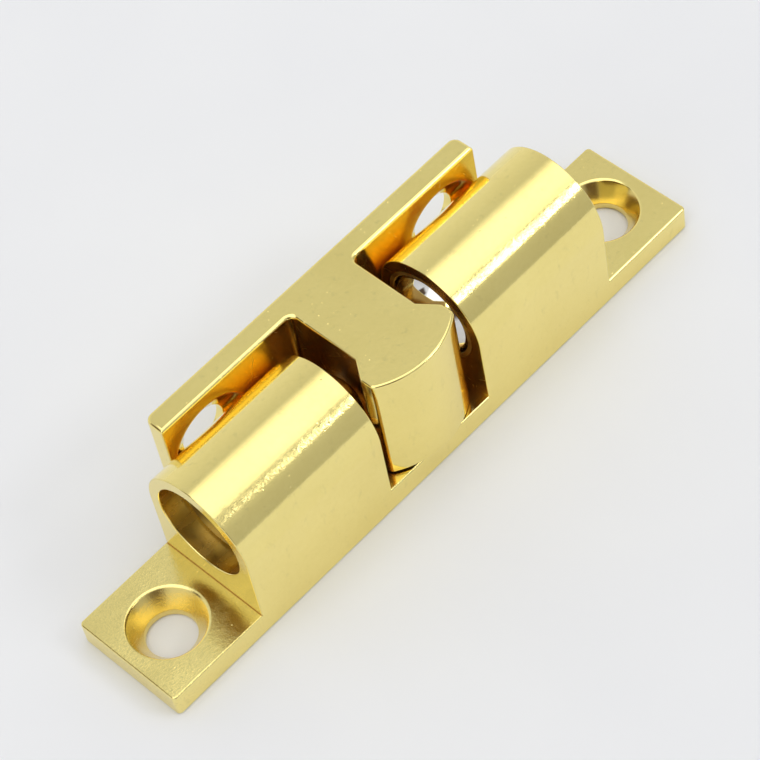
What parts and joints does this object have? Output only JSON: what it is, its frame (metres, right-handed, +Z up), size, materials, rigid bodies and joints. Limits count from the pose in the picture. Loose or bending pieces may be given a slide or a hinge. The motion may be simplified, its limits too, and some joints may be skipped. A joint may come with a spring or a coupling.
{
  "type": "double ball catch",
  "caption": "Brass ball catch for a cupboard door: a two-barrel housing on a base plate, a tee-shaped strike between sprung steel balls, and slotted adjusters in the barrel ends.",
  "frame": {"origin": "middle of the base plate's underside", "axes": "+X along the barrels, +Y towards the strike's plate, the way the strike pulls out, and +Z up from the base"},
  "size_m": [0.06, 0.0136, 0.0144],
  "materials": {
    "plated_housing": "bright gold plating on brass, lightly pitted",
    "plated_strike": "bright gold plating on brass, drawn along its height",
    "ball_steel": "mirror-polished steel",
    "spring_steel": "drawn spring wire",
    "adjuster_brass": "turned brass"
  },
  "bodies": {
    "housing": {"housing": "plated_housing"},
    "strike": {"strike": "plated_strike"},
    "ball_left": {"ball_left": "ball_steel"},
    "ball_right": {"ball_right": "ball_steel"},
    "spring_left": {"spring_left": "spring_steel"},
    "spring_right": {"spring_right": "spring_steel"},
    "adjuster_left": {"adjuster_left": "adjuster_brass"},
    "adjuster_right": {"adjuster_right": "adjuster_brass"}
  },
  "joints": [
    {"name": "strike_pull", "type": "slide", "parent": "housing", "child": "strike", "axis": [0, 1, 0], "range_m": [0, 0.003]},
    {"name": "ball_left_press", "type": "slide", "parent": "housing", "child": "ball_left", "axis": [-1, 0, 0], "range_m": [0, 0.0016], "stiffness_N_per_m": 4000, "deforming": ["spring_left"]},
    {"name": "ball_right_press", "type": "slide", "parent": "housing", "child": "ball_right", "axis": [1, 0, 0], "range_m": [0, 0.0016], "stiffness_N_per_m": 4000, "deforming": ["spring_right"]},
    {"name": "adjuster_left_advance", "type": "slide", "parent": "housing", "child": "spring_left", "axis": [1, 0, 0], "range_m": [-0.0015, 0.00075], "deforming": ["spring_left"]},
    {"name": "adjuster_right_advance", "type": "slide", "parent": "housing", "child": "spring_right", "axis": [-1, 0, 0], "range_m": [-0.0015, 0.00075], "deforming": ["spring_right"]},
    {"name": "adjuster_left_turn", "type": "hinge", "parent": "spring_left", "child": "adjuster_left", "pos_m": [-0.01735, 0, 0.009], "axis": [1, 0, 0], "range_deg": [-721, 361]},
    {"name": "adjuster_right_turn", "type": "hinge", "parent": "spring_right", "child": "adjuster_right", "pos_m": [0.01735, 0, 0.009], "axis": [-1, 0, 0], "range_deg": [-721, 361]}
  ],
  "couplings": [
    {"joint": "ball_left_press", "follows": "strike_pull", "ratio": 0.53},
    {"joint": "ball_right_press", "follows": "strike_pull", "ratio": 0.53},
    {"joint": "adjuster_left_turn", "follows": "adjuster_left_advance", "rad_per_m": 8377.6},
    {"joint": "adjuster_right_turn", "follows": "adjuster_right_advance", "rad_per_m": 8377.6}
  ]
}
